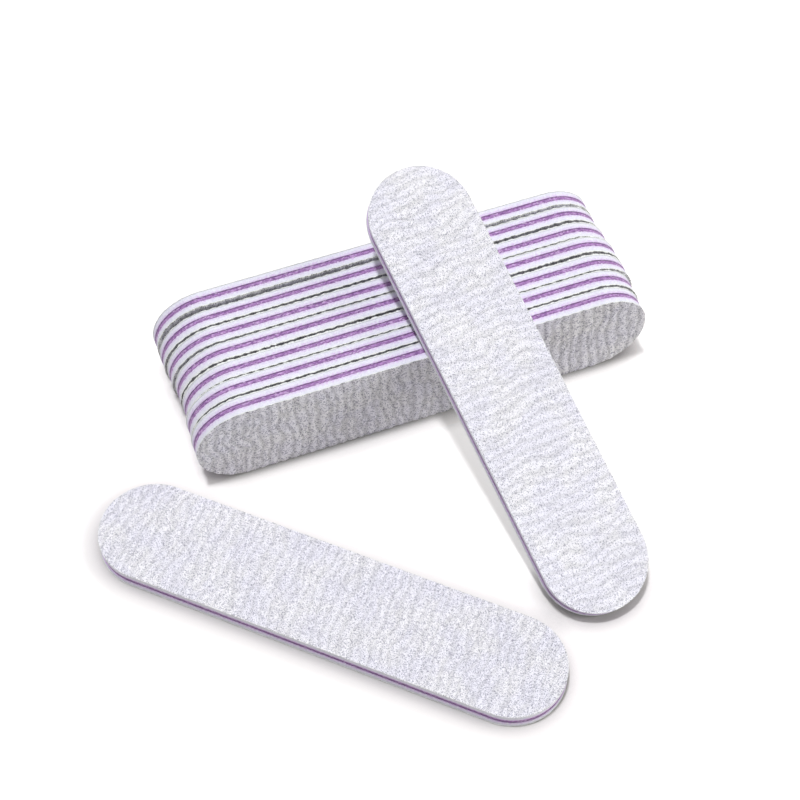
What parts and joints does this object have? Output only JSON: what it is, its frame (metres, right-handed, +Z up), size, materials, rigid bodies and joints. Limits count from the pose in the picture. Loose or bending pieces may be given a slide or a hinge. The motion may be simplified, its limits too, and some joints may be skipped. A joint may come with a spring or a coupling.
{
  "type": "nail buffer set",
  "caption": "Double-sided nail buffers with rounded ends and a stiff core between foam pads: a row standing on edge, one board leaning on it and one lying flat.",
  "frame": {"origin": "middle of the set's bounding box in X and Y, on the surface that it stands on", "axes": "+X runs along the row of standing boards, -Y is the front, where the flat board lies and where the row's first board shows its face, and +Z is up"},
  "size_m": [0.1122, 0.098, 0.0365],
  "materials": {
    "grit_paper": "matte",
    "white_foam": "matte",
    "purple_core": "satin"
  },
  "bodies": {
    "row_board_1": {"row_board_1_front_grit_paper": "grit_paper", "row_board_1_front_foam": "white_foam", "row_board_1_core": "purple_core", "row_board_1_back_foam": "white_foam", "row_board_1_back_grit_paper": "grit_paper"},
    "row_board_2": {"row_board_2_front_grit_paper": "grit_paper", "row_board_2_front_foam": "white_foam", "row_board_2_core": "purple_core", "row_board_2_back_foam": "white_foam", "row_board_2_back_grit_paper": "grit_paper"},
    "row_board_3": {"row_board_3_front_grit_paper": "grit_paper", "row_board_3_front_foam": "white_foam", "row_board_3_core": "purple_core", "row_board_3_back_foam": "white_foam", "row_board_3_back_grit_paper": "grit_paper"},
    "row_board_4": {"row_board_4_front_grit_paper": "grit_paper", "row_board_4_front_foam": "white_foam", "row_board_4_core": "purple_core", "row_board_4_back_foam": "white_foam", "row_board_4_back_grit_paper": "grit_paper"},
    "row_board_5": {"row_board_5_front_grit_paper": "grit_paper", "row_board_5_front_foam": "white_foam", "row_board_5_core": "purple_core", "row_board_5_back_foam": "white_foam", "row_board_5_back_grit_paper": "grit_paper"},
    "row_board_6": {"row_board_6_front_grit_paper": "grit_paper", "row_board_6_front_foam": "white_foam", "row_board_6_core": "purple_core", "row_board_6_back_foam": "white_foam", "row_board_6_back_grit_paper": "grit_paper"},
    "row_board_7": {"row_board_7_front_grit_paper": "grit_paper", "row_board_7_front_foam": "white_foam", "row_board_7_core": "purple_core", "row_board_7_back_foam": "white_foam", "row_board_7_back_grit_paper": "grit_paper"},
    "leaning_board": {"leaning_board_front_grit_paper": "grit_paper", "leaning_board_front_foam": "white_foam", "leaning_board_core": "purple_core", "leaning_board_back_foam": "white_foam", "leaning_board_back_grit_paper": "grit_paper"},
    "flat_board": {"flat_board_front_grit_paper": "grit_paper", "flat_board_front_foam": "white_foam", "flat_board_core": "purple_core", "flat_board_back_foam": "white_foam", "flat_board_back_grit_paper": "grit_paper"}
  },
  "joints": [
    {"name": "row_board_2_draw", "type": "slide", "parent": "row_board_1", "child": "row_board_2", "axis": [1, 0, 0], "range_m": [-0.095, 0.095]},
    {"name": "row_board_3_draw", "type": "slide", "parent": "row_board_1", "child": "row_board_3", "axis": [1, 0, 0], "range_m": [-0.095, 0.095]},
    {"name": "row_board_4_draw", "type": "slide", "parent": "row_board_1", "child": "row_board_4", "axis": [1, 0, 0], "range_m": [-0.095, 0.095]},
    {"name": "row_board_5_draw", "type": "slide", "parent": "row_board_1", "child": "row_board_5", "axis": [1, 0, 0], "range_m": [-0.095, 0.095]},
    {"name": "row_board_6_draw", "type": "slide", "parent": "row_board_1", "child": "row_board_6", "axis": [1, 0, 0], "range_m": [-0.095, 0.095]},
    {"name": "row_board_7_draw", "type": "slide", "parent": "row_board_1", "child": "row_board_7", "axis": [1, 0, 0], "range_m": [-0.095, 0.095]},
    {"name": "leaning_board_lift", "type": "slide", "parent": "row_board_1", "child": "leaning_board", "axis": [0, 0, 1], "range_m": [0, 0.04]},
    {"name": "flat_board_lift", "type": "slide", "parent": "row_board_1", "child": "flat_board", "axis": [0, 0, 1], "range_m": [0, 0.04]}
  ]
}
